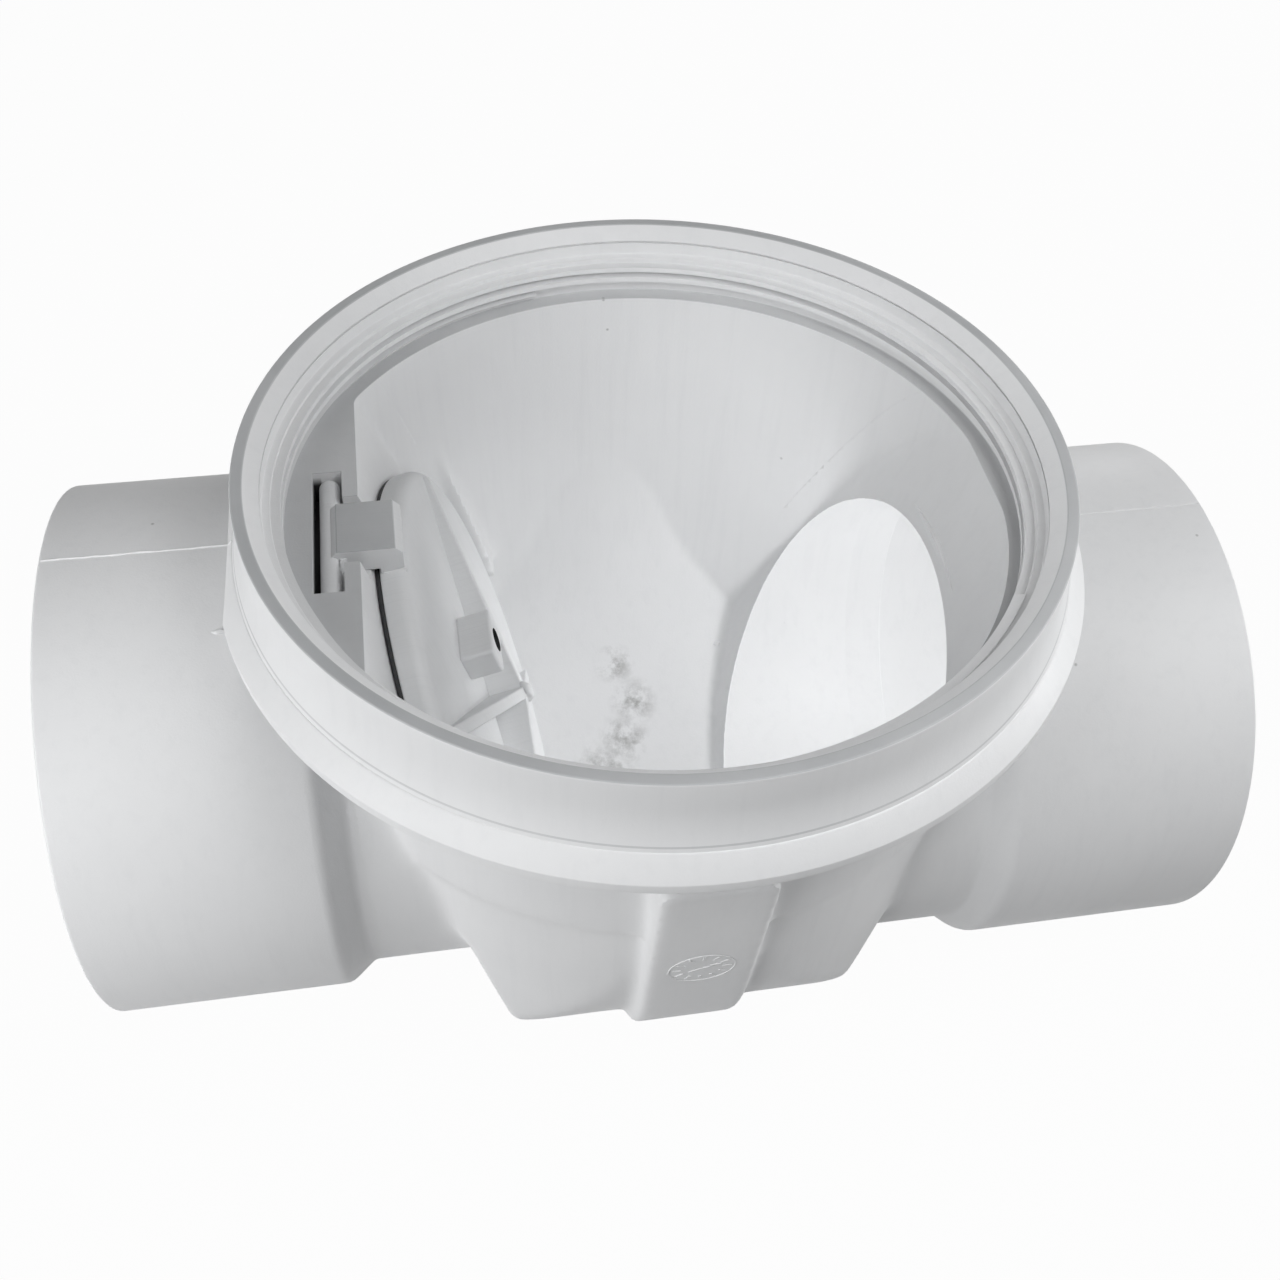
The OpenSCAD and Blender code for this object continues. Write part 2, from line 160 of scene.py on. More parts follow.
def noise(wire, place, scale, detail=3.0, rough=0.5, stretch=None):
    if stretch:
        place = wire.make("ShaderNodeMapping", {}, {"Vector": place, "Scale": stretch})
    return wire.make("ShaderNodeTexNoise", {}, {
        "Vector": place, "Scale": scale, "Detail": detail, "Roughness": rough})


def ramp(wire, value, low, high):
    return wire.make("ShaderNodeMapRange", {"clamp": True}, {
        "Value": value, "From Min": low, "From Max": high})


def blendColours(wire, amount, first, second):
    return wire.make("ShaderNodeMix", {"data_type": "RGBA"}, {0: amount, 6: first, 7: second}, 2)


def feed(wire, shader, name, value):
    wire.tree.links.new(value.socket, shader.inputs[name])


def nearPlace(wire, place, centre, radius):
    far = wire.make("ShaderNodeVectorMath", {"operation": "DISTANCE"}, {0: place, 1: centre}, 1)
    return ramp(wire, far, radius * mm, 0.0)


def strongest(wire, values):
    best = values[0]
    for value in values[1:]:
        best = wire.maths("MAXIMUM", best, value)
    return best


# Painted shade on level tops, each known by its height: these tops are darkened in colour as if less light
# fell on them from above
topShade = {"tone": (0.36, 0.37, 0.38, 1), "reach": (0.4, 0.2), "even": 0.75}


def paintTopShade(wire, place, colour, tops, clouds):
    height = wire.make("ShaderNodeSeparateXYZ", {}, {0: place}, 2)
    start, full = [reach * mm for reach in topShade["reach"]]
    cover = strongest(wire, [
        ramp(wire, wire.maths("ABSOLUTE", height - at(0, 0, level).z, 0.0), start, full) * amount
        for level, amount in tops])
    cover = cover * (topShade["even"] + clouds * (1 - topShade["even"]))
    return blendColours(wire, cover, colour, topShade["tone"])


# Moulded body: pale grey, cloudy, with drawn streaks, fine grain, a few specks and the grime of use, and
# painted shade on its level tops and in the gap behind the hinge bar
bodyFinish = {
    "pale": (0.80, 0.803, 0.808, 1), "deep": (0.735, 0.74, 0.748, 1), "gloss": 0.42,
    "clouds": (16, 4, 0.55), "cloudSpan": (0.35, 0.7), "cloudShare": 0.4,
    "streaks": (9, 3, 0.6, (26, 26, 1.2)), "streakSpan": (0.5, 0.78), "streakShare": 0.35,
    # painted shade: the heights of the level tops, and how dark each is painted
    "shadedTops": [(118, 0.85), (94.4, 0.5)],
    # painted shade in the gap behind the hinge bar, from none to full
    "gapShade": (0.05, 0.05, 0.052, 1), "gapX": -106.9, "gapHalf": (1.9, 1.52), "gapAcross": (28.5, 27.5),
    "gapTop": (92.5, 89), "gapFoot": (79.2, 80),
    "grime": (0.2, 0.2, 0.19, 1),
    "specks": 52, "speckSpan": (0.045, 0.02), "speckShare": 0.75,
    "chance": (31, 1), "chanceSpan": (0.6, 0.64),
    "smudges": [((-8, 36, -99), 17), ((-3, 14, -104), 15), ((3, 50, -93), 13), ((9, 64, -84.5), 12),
                ((2, 77, -73), 10)],
    "broken": (120, 5, 0.7), "brokenSpan": (0.42, 0.62), "smudgeShare": 0.8,
    "rough": 0.44, "cloudRough": 0.08, "grainRough": 0.06,
    "grain": (1500, 2, 0.6), "grainDepth": 0.00012, "grainStrength": 0.35, "streakDepth": 0.5,
}


def makeBodyFinish(name, look):
    finish, wire, shader = newFinish(name)
    place = wire.make("ShaderNodeTexCoord", {}, {}, 3)
    clouds = ramp(wire, noise(wire, place, *look["clouds"]), *look["cloudSpan"])
    streaks = ramp(wire, noise(wire, place, *look["streaks"]), *look["streakSpan"])
    grain = noise(wire, place, *look["grain"])
    shade = clouds * look["cloudShare"] + streaks * look["streakShare"]
    colour = blendColours(wire, shade, look["pale"], look["deep"])
    # painted shade on the level tops
    colour = paintTopShade(wire, place, colour, look["shadedTops"], clouds)
    sideways, across, height = [wire.make("ShaderNodeSeparateXYZ", {}, {0: place}, k) for k in range(3)]
    # painted shade, near black, in the gap behind the hinge bar
    fromGap = wire.maths("ABSOLUTE", sideways - at(look["gapX"], 0, 0).x, 0.0)
    gapShade = ramp(wire, fromGap, *[x * mm for x in look["gapHalf"]])
    gapShade = gapShade * ramp(wire, wire.maths("ABSOLUTE", across, 0.0), *[y * mm for y in look["gapAcross"]])
    for span in (look["gapTop"], look["gapFoot"]):
        gapShade = gapShade * ramp(wire, height, *[at(0, 0, z).z for z in span])
    colour = blendColours(wire, gapShade, colour, look["gapShade"])
    cells = wire.make("ShaderNodeTexVoronoi", {"feature": "F1"}, {"Vector": place, "Scale": look["specks"]})
    chance = noise(wire, place, *look["chance"])
    specks = ramp(wire, cells, *look["speckSpan"]) * ramp(wire, chance, *look["chanceSpan"])
    broken = ramp(wire, noise(wire, place, *look["broken"]), *look["brokenSpan"])
    spots = [nearPlace(wire, place, at(*centre), radius) for centre, radius in look["smudges"]]
    dirt = specks * look["speckShare"] + strongest(wire, spots) * broken * look["smudgeShare"]
    colour = blendColours(wire, dirt, colour, look["grime"])
    feed(wire, shader, "Base Color", colour)
    feed(wire, shader, "Roughness", look["rough"] + clouds * look["cloudRough"] + grain * look["grainRough"])
    bump = wire.make("ShaderNodeBump", {}, {
        "Strength": look["grainStrength"], "Distance": look["grainDepth"],
        "Height": grain + streaks * look["streakDepth"]})
    feed(wire, shader, "Normal", bump)
    shader.inputs["Specular IOR Level"].default_value = look["gloss"]
    return finish


# Cut sheet and bar: a shade greyer, with fine saw lines down its length
flapperFinish = {
    "pale": (0.775, 0.78, 0.786, 1), "deep": (0.69, 0.697, 0.705, 1), "gloss": 0.42,
    "clouds": (22, 4, 0.55), "cloudSpan": (0.35, 0.7), "cloudShare": 0.45,
    "saw": (6, 2, 0.5, (6, 260, 6)), "sawSpan": (0.5, 0.8), "sawShare": 0.35,
    # painted shade on the level top at this height
    "shadedTops": [(95, 0.75)],
    # the block's drilled hole is painted dark inside: painted shade
    "hole": (0.02, 0.02, 0.02, 1), "holeEdge": (0.12, 0), "holeStart": (1, 1.5),
    "rough": 0.42, "cloudRough": 0.1, "grain": (1300, 2, 0.6), "grainDepth": 0.0001, "grainStrength": 0.4,
}


def makeFlapperFinish(name, look):
    finish, wire, shader = newFinish(name)
    place = wire.make("ShaderNodeTexCoord", {}, {}, 3)
    clouds = ramp(wire, noise(wire, place, *look["clouds"]), *look["cloudSpan"])
    saw = noise(wire, place, *look["saw"])
    grain = noise(wire, place, *look["grain"])
    shade = clouds * look["cloudShare"] + ramp(wire, saw, *look["sawSpan"]) * look["sawShare"]
    colour = blendColours(wire, shade, look["pale"], look["deep"])
    # painted shade on the level top
    colour = paintTopShade(wire, place, colour, look["shadedTops"], clouds)
    # painted shade inside the drilled hole
    holeFoot = onSeat(0, -boss["up"], 0)
    offset = wire.make("ShaderNodeVectorMath", {"operation": "SUBTRACT"}, {0: place, 1: holeFoot})
    out = wire.make("ShaderNodeVectorMath", {"operation": "DOT_PRODUCT"}, {0: offset, 1: seatOut}, 1)
    around = wire.make("ShaderNodeVectorMath", {"operation": "CROSS_PRODUCT"}, {0: offset, 1: seatOut})
    away = wire.make("ShaderNodeVectorMath", {"operation": "LENGTH"}, {0: around}, 1)
    holeShade = ramp(wire, away, *[(boss["holeR"] + edge) * mm for edge in look["holeEdge"]])
    holeShade = holeShade * ramp(wire, out, *[(discFront + start) * mm for start in look["holeStart"]])
    colour = blendColours(wire, holeShade, colour, look["hole"])
    feed(wire, shader, "Base Color", colour)
    feed(wire, shader, "Roughness", look["rough"] + clouds * look["cloudRough"])
    bump = wire.make("ShaderNodeBump", {}, {
        "Strength": look["grainStrength"], "Distance": look["grainDepth"], "Height": grain + saw})
    feed(wire, shader, "Normal", bump)
    shader.inputs["Specular IOR Level"].default_value = look["gloss"]
    return finish


# Gasket: matt black rubber
rubberFinish = {
    "pale": (0.03, 0.03, 0.033, 1), "deep": (0.012, 0.012, 0.013, 1), "clouds": (60, 4, 0.6),
    "rough": 0.6, "cloudRough": 0.2, "grain": (1800, 2, 0.6), "grainDepth": 0.0001, "grainStrength": 0.4,
}


def makeRubberFinish(name, look):
    finish, wire, shader = newFinish(name)
    place = wire.make("ShaderNodeTexCoord", {}, {}, 3)
    clouds = noise(wire, place, *look["clouds"])
    grain = noise(wire, place, *look["grain"])
    feed(wire, shader, "Base Color", blendColours(wire, clouds, look["deep"], look["pale"]))
    feed(wire, shader, "Roughness", look["rough"] + clouds * look["cloudRough"])
    bump = wire.make("ShaderNodeBump", {}, {
        "Strength": look["grainStrength"], "Distance": look["grainDepth"], "Height": grain})
    feed(wire, shader, "Normal", bump)
    return finish


mouldedPvc = makeBodyFinish("mouldedPvc", bodyFinish)
cutPvc = makeFlapperFinish("cutPvc", flapperFinish)
blackRubber = makeRubberFinish("blackRubber", rubberFinish)
print("finishes made")


# Modelling helpers
def only(piece):
    bpy.ops.object.select_all(action="DESELECT")
    piece.select_set(True)
    bpy.context.view_layer.objects.active = piece


def pick(piece, kind, test):
    bpy.ops.mesh.select_mode(type=kind)
    bpy.ops.mesh.select_all(action="DESELECT")
    mesh = bmesh.from_edit_mesh(piece.data)
    items = {"VERT": mesh.verts, "EDGE": mesh.edges, "FACE": mesh.faces}[kind]
    for item in items:
        if test(item):
            item.select_set(True)
    mesh.select_flush_mode()
    bmesh.update_edit_mesh(piece.data)


def roundedPath(corners, turnStep=15):
    # corners are (u, v, radius); a corner with a radius becomes an arc
    count = len(corners)
    path = []
    for i, (u, v, radius) in enumerate(corners):
        corner = Vector((u, v))
        if radius <= 0:
            path.append(corner)
            continue
        before = (Vector(corners[i - 1][:2]) - corner).normalized()
        after = (Vector(corners[(i + 1) % count][:2]) - corner).normalized()
        half = before.angle(after) / 2
        centre = corner + (before + after).normalized() * radius / math.sin(half)
        start = (corner + before * radius / math.tan(half) - centre).normalized()
        end = (corner + after * radius / math.tan(half) - centre).normalized()
        steps = max(2, round(math.degrees(start.angle(end)) / turnStep))
        path += [centre + start.slerp(end, k / steps) * radius for k in range(steps + 1)]
    return path


def drawLoop(name, points):
    # a small plane shrinks to the first point, and the outline is pulled out of it
    bpy.ops.object.select_all(action="DESELECT")
    bpy.ops.mesh.primitive_plane_add(size=mm, location=(0, 0, 0))
    piece = bpy.context.object
    piece.name = piece.data.name = name
    bpy.ops.object.mode_set(mode="EDIT")
    bpy.ops.mesh.select_all(action="SELECT")
    bpy.ops.mesh.merge(type="CENTER")
    bpy.ops.transform.translate(value=points[0])
    for here, there in zip(points, points[1:]):
        bpy.ops.mesh.extrude_region_move(TRANSFORM_OT_translate={"value": there - here})
    ends = (points[0], points[-1])
    pick(piece, "VERT", lambda v: min((v.co - end).length for end in ends) < 1e-6)
    bpy.ops.mesh.edge_face_add()
    bpy.ops.mesh.select_all(action="SELECT")
    return piece


def tidyMesh(piece, angle=35):
    bpy.ops.mesh.select_all(action="SELECT")
    bpy.ops.mesh.remove_doubles(threshold=2e-6)
    bpy.ops.mesh.normals_make_consistent(inside=False)
    bpy.ops.object.mode_set(mode="OBJECT")
    only(piece)
    bpy.ops.object.shade_smooth_by_angle(angle=math.radians(angle))


def spinPiece(name, corners, origin, axis, radial, steps=180):
    # corners are (along the axis, radius, rounding) in millimetres
    points = [origin + (axis * p.x + radial * p.y) * mm for p in roundedPath(corners)]
    piece = drawLoop(name, points)
    bpy.ops.mesh.spin(steps=steps, angle=2 * math.pi, center=origin, axis=axis, use_auto_merge=True)
    tidyMesh(piece)
    return piece


def extrudePiece(name, points, depth):
    piece = drawLoop(name, points)
    bpy.ops.mesh.edge_face_add()
    bpy.ops.mesh.extrude_region_move(TRANSFORM_OT_translate={"value": depth})
    tidyMesh(piece)
    return piece


def joinPieces(parts):
    bpy.ops.object.select_all(action="DESELECT")
    for part in parts:
        part.select_set(True)
    bpy.context.view_layer.objects.active = parts[0]
    bpy.ops.object.join()
    return parts[0]


def applyModifier(piece, kind, **settings):
    only(piece)
    modifier = piece.modifiers.new(kind.lower(), kind)
    for name, value in settings.items():
        setattr(modifier, name, value)
    bpy.ops.object.modifier_apply(modifier=modifier.name)


def roundEdges(piece, width, segments=3, angle=30):
    applyModifier(piece, "BEVEL", width=width * mm, segments=segments, limit_method="ANGLE",
                  angle_limit=math.radians(angle))
    only(piece)
    bpy.ops.object.shade_smooth_by_angle(angle=math.radians(40))


def cadCopy(name, node):
    only(frame["nodes"][node])
    bpy.ops.object.duplicate()
    piece = bpy.context.object
    piece.parent = None
    piece.name = piece.data.name = name
    for key in list(piece.keys()):
        del piece[key]
    piece.data.materials.clear()
    bpy.ops.object.mode_set(mode="EDIT")
    bpy.ops.mesh.select_all(action="SELECT")
    bpy.ops.mesh.remove_doubles(threshold=1e-5)
    bpy.ops.object.mode_set(mode="OBJECT")
    return piece


def cutPiece(piece, point, normal):
    # removes what lies on the normal's side and closes the cut
    only(piece)
    bpy.ops.object.mode_set(mode="EDIT")
    bpy.ops.mesh.select_all(action="SELECT")
    bpy.ops.mesh.bisect(plane_co=point, plane_no=normal, use_fill=True, clear_outer=True, threshold=1e-7)
    bpy.ops.object.mode_set(mode="OBJECT")


def carve(piece, tool):
    applyModifier(piece, "BOOLEAN", object=tool, operation="DIFFERENCE", solver="MANIFOLD")
    bpy.data.objects.remove(tool)
    only(piece)
    bpy.ops.object.shade_smooth_by_angle(angle=math.radians(35))


def settle(piece, body, slot, finish, *nodes):
    piece.data.materials.clear()
    piece.data.materials.append(finish)
    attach(piece, body)
    if nodes:
        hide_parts(*nodes)
    print("piece:", piece.name, len(piece.data.polygons), "faces")


# Moulded shell: the body's nodes are fused once, so that their corners run into each other as in one
# moulding, its bores and the hinge pocket are cut clean, and it is parted again along the section lines
shell = {
    "nodes": ["sump_bowl", "seat_wall", "outlet_wall", "inlet_neck", "outlet_neck", "hinge_deck",
              "front_plate"],
    "voxel": 1.6, "softness": 0.5, "evenPasses": 2, "outerPasses": 34, "middle": -10,
    "seatCut": 8, "neckCut": 7, "outletCut": 8, "hubLap": 1, "ledge": 94.4, "bowlTop": 79,
    "lap": 9, "stock": 6, "boreStock": 4, "heelFoot": 88, "heelR": (109, 117), "heelX": -95,
    "plateRise": 11.5, "plateLean": 0.16, "plateSoft": 0.22, "plateMargin": 4, "plateBelow": 6,
    "trim": 0.5, "boreSteps": 480, "inletReach": 60, "outletReach": 90, "portReach": (-20, 4),
}
pocket = {
    "floor": 86, "slotLeft": -107.85, "slotRight": -98.35, "slotHalf": 27.25, "above": 20,
    "channelLeft": -102.7, "channelRight": -60, "channelHalf": 15,
    "gutterRight": -105.8, "gutterFloor": 80.3,
}
inletHubLow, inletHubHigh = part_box("inlet_hub")
outletHubLow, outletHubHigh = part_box("outlet_hub")
inletNeckEnd = Vector((inletHubHigh.x, 0, valve["axisHeight"]))
outletNeckEnd = Vector((outletHubLow.x, 0, valve["axisHeight"] - valve["outletDrop"] * mm))


def boxPiece(name, low, high):
    bpy.ops.object.select_all(action="DESELECT")
    bpy.ops.mesh.primitive_cube_add(size=1, location=(low + high) / 2)
    piece = bpy.context.object
    piece.name = name
    piece.scale = high - low
    bpy.ops.object.transform_apply(location=True, rotation=True, scale=True)
    return piece


def tube(name, origin, axis, start, end, innerR, outerR, steps=180):
    return spinPiece(name, [(start, innerR, 0), (start, outerR, 0), (end, outerR, 0), (end, innerR, 0)],
                     origin, axis, acrossFlow, steps)


def slide(piece, move):
    only(piece)
    bpy.ops.object.mode_set(mode="EDIT")
    bpy.ops.mesh.select_all(action="SELECT")
    bpy.ops.transform.translate(value=move)
    bpy.ops.object.mode_set(mode="OBJECT")


def makeShell():
    copies = [cadCopy("shell", node) for node in shell["nodes"]]
    # stock past the section lines, so that no rounding shows where the shell is parted
    stockTop = shell["ledge"] + shell["stock"]
    sleeve = tube("sleeve", collarAxis, upward, shell["bowlTop"] - shell["hubLap"], stockTop,
                  valve["throatR"], valve["drumR"])
    cutPiece(sleeve, onSeat(-valve["seatWall"], 0, 0), -seatOut)
    heel = tube("heel", collarAxis, upward, shell["heelFoot"], stockTop, *shell["heelR"])
    cutPiece(heel, at(shell["heelX"], 0, 0), alongFlow)
    shelf = cadCopy("shelf", "hinge_deck")
    slide(shelf, -seatDown * shell["lap"] * mm)
    brow = cadCopy("brow", "outlet_wall")
    slide(brow, acrossFlow.cross(outletOut) * -shell["lap"] * mm)
    cutPiece(brow, at(0, 0, shell["bowlTop"]), -upward)
    inletStub = tube("inletStub", inletNeckEnd, -alongFlow, -shell["hubLap"], shell["lap"],
                     valve["boreR"], valve["neckR"])
    outletStub = tube("outletStub", outletNeckEnd, alongFlow, -shell["outletReach"], shell["lap"],
                      valve["boreR"] - shell["boreStock"], valve["neckR"])
    cutPiece(outletStub, outletMiddle, -outletOut)
    plate = cadCopy("plate", "front_plate")
    slide(plate, Vector((0, -shell["plateLean"], 1)) * shell["plateRise"] * mm)
    core = joinPieces(copies + [sleeve, heel, shelf, brow, inletStub, outletStub, plate])
    applyModifier(core, "REMESH", mode="VOXEL", voxel_size=shell["voxel"] * mm)
    middle = at(0, 0, shell["middle"])
    outer = core.vertex_groups.new(name="outerSkin")
    outside = [v.index for v in core.data.vertices if v.normal.dot(v.co - middle) > 0]
    outer.add(outside, 1.0, "REPLACE")
    # the plate keeps firmer edges than the rest
    plateLow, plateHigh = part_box("front_plate")
    left = plateLow.x - shell["plateMargin"] * mm
    right = plateHigh.x + shell["plateMargin"] * mm
    under = at(0, 0, shell["bowlTop"] - shell["plateBelow"]).z
    firm = [v.index for v in core.data.vertices if v.co.y < 0 and v.co.z < under and left < v.co.x < right]
    outer.add(firm, shell["plateSoft"], "REPLACE")
    applyModifier(core, "SMOOTH", factor=shell["softness"], iterations=shell["evenPasses"])
    applyModifier(core, "SMOOTH", factor=shell["softness"], iterations=shell["outerPasses"],
                  vertex_group="outerSkin")
    core.vertex_groups.clear()
    trimR = valve["boreR"] + shell["trim"]
    portR = valve["portR"] + shell["trim"]
    past = 2 * shell["lap"]
    steps = shell["boreSteps"]
    inletBore = tube("inletBore", inletNeckEnd, -alongFlow, -shell["inletReach"], past, 0, trimR, steps)
    cutPiece(inletBore, onSeat(-valve["seatWall"], 0, 0), seatOut)
    carve(core, inletBore)
    carve(core, tube("port", seatMiddle, seatOut, *shell["portReach"], 0, portR, steps))
    carve(core, tube("outletBore", outletNeckEnd, alongFlow, -shell["outletReach"], past, 0, trimR, steps))
    top = shell["ledge"] + pocket["above"]
    carve(core, boxPiece("slot", at(pocket["slotLeft"], -pocket["slotHalf"], pocket["floor"]),
                         at(pocket["slotRight"], pocket["slotHalf"], top)))
    carve(core, boxPiece("gutter", at(pocket["slotLeft"], -pocket["slotHalf"], pocket["gutterFloor"]),
                         at(pocket["gutterRight"], pocket["slotHalf"], top)))
    carve(core, boxPiece("channel", at(pocket["channelLeft"], -pocket["channelHalf"], pocket["floor"]),
                         at(pocket["channelRight"], pocket["channelHalf"], top)))
    cutPiece(core, at(0, 0, shell["ledge"]), upward)
    return core


def partOf(core, name, nodes, cuts):
    only(core)
    bpy.ops.object.duplicate()
    piece = bpy.context.object
    piece.name = piece.data.name = name
    for point, normal in cuts:
        cutPiece(piece, point, normal)
    only(piece)
    bpy.ops.object.shade_smooth_by_angle(angle=math.radians(50))
    settle(piece, "valve_body", "body_pvc", mouldedPvc, *nodes)


def makeShellPieces():
    core = makeShell()
    print("shell fused:", len(core.data.polygons), "faces")
    chamberSide = onSeat(shell["seatCut"], 0, 0)
    neckSide = onSeat(-valve["seatWall"] - shell["neckCut"], 0, 0)
    beforeOutlet = outletMiddle - outletOut * shell["outletCut"] * mm
    afterOutlet = outletMiddle + outletOut * (valve["outletWall"] + shell["neckCut"]) * mm
    shelfFoot = at(0, 0, shell["bowlTop"])
    # the necks end a little under the hubs
    inletEnd = (inletNeckEnd - alongFlow * shell["hubLap"] * mm, -alongFlow)
    outletEnd = (outletNeckEnd + alongFlow * shell["hubLap"] * mm, alongFlow)
    partOf(core, "sumpBowl", ["sump_bowl", "front_plate"], [
        (chamberSide, -seatOut), (beforeOutlet, outletOut)])
    partOf(core, "seatWall", ["seat_wall"], [
        (chamberSide, seatOut), (neckSide, -seatOut), (shelfFoot, upward), inletEnd])
    partOf(core, "hingeDeck", ["hinge_deck"], [(chamberSide, seatOut), (shelfFoot, -upward)])
    partOf(core, "inletNeck", ["inlet_neck"], [(neckSide, seatOut), (shelfFoot, upward), inletEnd])
    partOf(core, "outletWall", ["outlet_wall"], [(beforeOutlet, -outletOut), (afterOutlet, outletOut)])
    partOf(core, "outletNeck", ["outlet_neck"], [(afterOutlet, -outletOut), (shelfFoot, upward), outletEnd])
    bpy.data.objects.remove(core)


makeShellPieces()
print("shell pieces made")

# Pipe hubs: a rounded shoulder from the neck, the socket with its stop, and broken edges at the mouth
hub = {
    "socketDepth": 76.2, "shoulder": (2.2, 10.5), "footRound": 4, "shoulderRound": 6, "mouthRound": 1.0,
    "socketBevel": 2.2, "edgeRound": 0.6, "stopRound": 0.8,
    # how the foot sits over the neck
    "overlap": 3, "boreEase": 0.02, "lapEase": 0.7, "lapSink": 0.1, "footProud": 0.05,
}


def makeHub(name, node, mouthX, neckX, height):
    origin = Vector((neckX, 0, height))
    axis = alongFlow * math.copysign(1, mouthX - neckX)
    length = abs(mouthX - neckX) / mm
    stop = length - hub["socketDepth"]
    low, high = hub["shoulder"]
    bore = valve["boreR"] + shell["trim"] + hub["boreEase"]
    piece = spinPiece(name, [
        (-hub["overlap"], bore + hub["lapEase"], 0),
        (-hub["overlap"], valve["neckR"] - hub["lapSink"], 0),
        (low, valve["neckR"] + hub["footProud"], hub["footRound"]),
        (high, valve["hubR"], hub["shoulderRound"]),
        (length, valve["hubR"], hub["mouthRound"]),
        (length, valve["socketR"] + hub["socketBevel"], hub["edgeRound"]),
        (length - hub["socketBevel"], valve["socketR"], hub["edgeRound"]),
        (stop, valve["socketR"], hub["stopRound"]),
        (stop, bore, hub["edgeRound"]),
        (0, bore, 0),
    ], origin, axis, upward)
    settle(piece, "valve_body", "body_pvc", mouldedPvc, node)


makeHub("inletHub", "inlet_hub", inletHubLow.x, inletHubHigh.x, inletNeckEnd.z)
makeHub("outletHub", "outlet_hub", outletHubHigh.x, outletHubLow.x, outletNeckEnd.z)

# Flange: a sloped top, a thin upright edge and a soft lower corner
flange = {
    "underside": 80, "edgeR": 138.5, "edgeTop": 86.7, "edgeBottom": 83.2, "chamfer": 3.2,
    "footR": 132.3, "footTop": 93.0, "footProud": 0.3, "footLap": 3, "top": 86, "innerR": 113.3,
    "underRound": 1.5, "lowRound": 1.2, "edgeRound": 0.6, "footRound": 1.0, "steps": 240,
    "hubLength": 90, "hubLap": 3,
}


def makeFlange():
    under = flange["footR"] - flange["footLap"]
    piece = spinPiece("flangeRing", [
        (flange["underside"], flange["innerR"], 0),
        (flange["underside"], flange["edgeR"] - flange["chamfer"], flange["underRound"]),
        (flange["edgeBottom"], flange["edgeR"], flange["lowRound"]),
        (flange["edgeTop"], flange["edgeR"], flange["edgeRound"]),
        (flange["footTop"], flange["footR"] + flange["footProud"], flange["footRound"]),
        (flange["footTop"], under, 0),
        (flange["top"], under, 0),
        (flange["top"], flange["innerR"], 0),
    ], collarAxis, upward, alongFlow, flange["steps"])
    carve(piece, tube("hubSpace", inletNeckEnd, -alongFlow, 0, flange["hubLength"], 0,
                      valve["hubR"] - flange["hubLap"]))
    settle(piece, "valve_body", "body_pvc", mouldedPvc, "flange_ring")


makeFlange()

# Access collar: flared outside, flat rim, lead-in, plain wall and the thread's root
collar = {
    "foot": 86, "footR": 132.3, "footLap": 2, "shoulder": 93.0, "waist": (108, 129.1), "hollowSteps": 8,
    "rim": 118, "rimR": 129, "rimInR": 125.5, "rimRound": 0.7, "leadRound": 0.5,
    "plainR": 121, "plainTop": 113.6, "plainFoot": 108.6, "plainRound": 0.4, "groove": 0.9,
    "threadTop": 108.0, "rootR": 118.6, "rootRound": 0.3, "ledge": 94.3, "ledgeRound": 0.5,
    "innerR": 113.3, "steps": 240,
}


def makeCollar():
    # the outside is upright under the rim and curves out towards the flange
    waist, waistR = collar["waist"]
    steps = collar["hollowSteps"]
    hollow = []
    for k in range(steps + 1):
        height = collar["shoulder"] + (waist - collar["shoulder"]) * k / steps
        flare = ((waist - height) / (waist - collar["shoulder"])) ** 2
        hollow.append((height, waistR + (collar["footR"] - waistR) * flare, 0))
    grooveR = collar["plainR"] + collar["groove"]
    grooveFoot = collar["plainTop"] - collar["groove"]
    piece = spinPiece("accessCollar", [
        (collar["foot"], collar["innerR"], 0),
        (collar["foot"], collar["footR"] - collar["footLap"], 0),
        *hollow,
        (collar["rim"], collar["rimR"], collar["rimRound"]),
        (collar["rim"], collar["rimInR"], collar["leadRound"]),
        (collar["plainTop"], collar["plainR"], 0),
        (collar["plainTop"], grooveR, 0),
        (grooveFoot, grooveR, 0),
        (grooveFoot, collar["plainR"], 0),
        (collar["plainFoot"], collar["plainR"], collar["plainRound"]),
        (collar["threadTop"], collar["rootR"], collar["rootRound"]),
        (collar["ledge"], collar["rootR"], collar["ledgeRound"]),
        (collar["ledge"], collar["innerR"], 0),
    ], collarAxis, upward, alongFlow, collar["steps"])
    settle(piece, "valve_body", "body_pvc", mouldedPvc, "access_collar")


makeCollar()

# Cap thread: one ridge wound round the root, running out into the wall at both ends
thread = {"pitch": 4.2, "turns": 2.62, "crestR": 115.8, "rootR": 118.7, "bottom": 96.6, "crestHalf": 0.9,
          "footHalf": 1.25, "stepsPerTurn": 160, "runOut": 0.12, "sunk": 0.3,
          "startAngle": math.radians(102.4)}


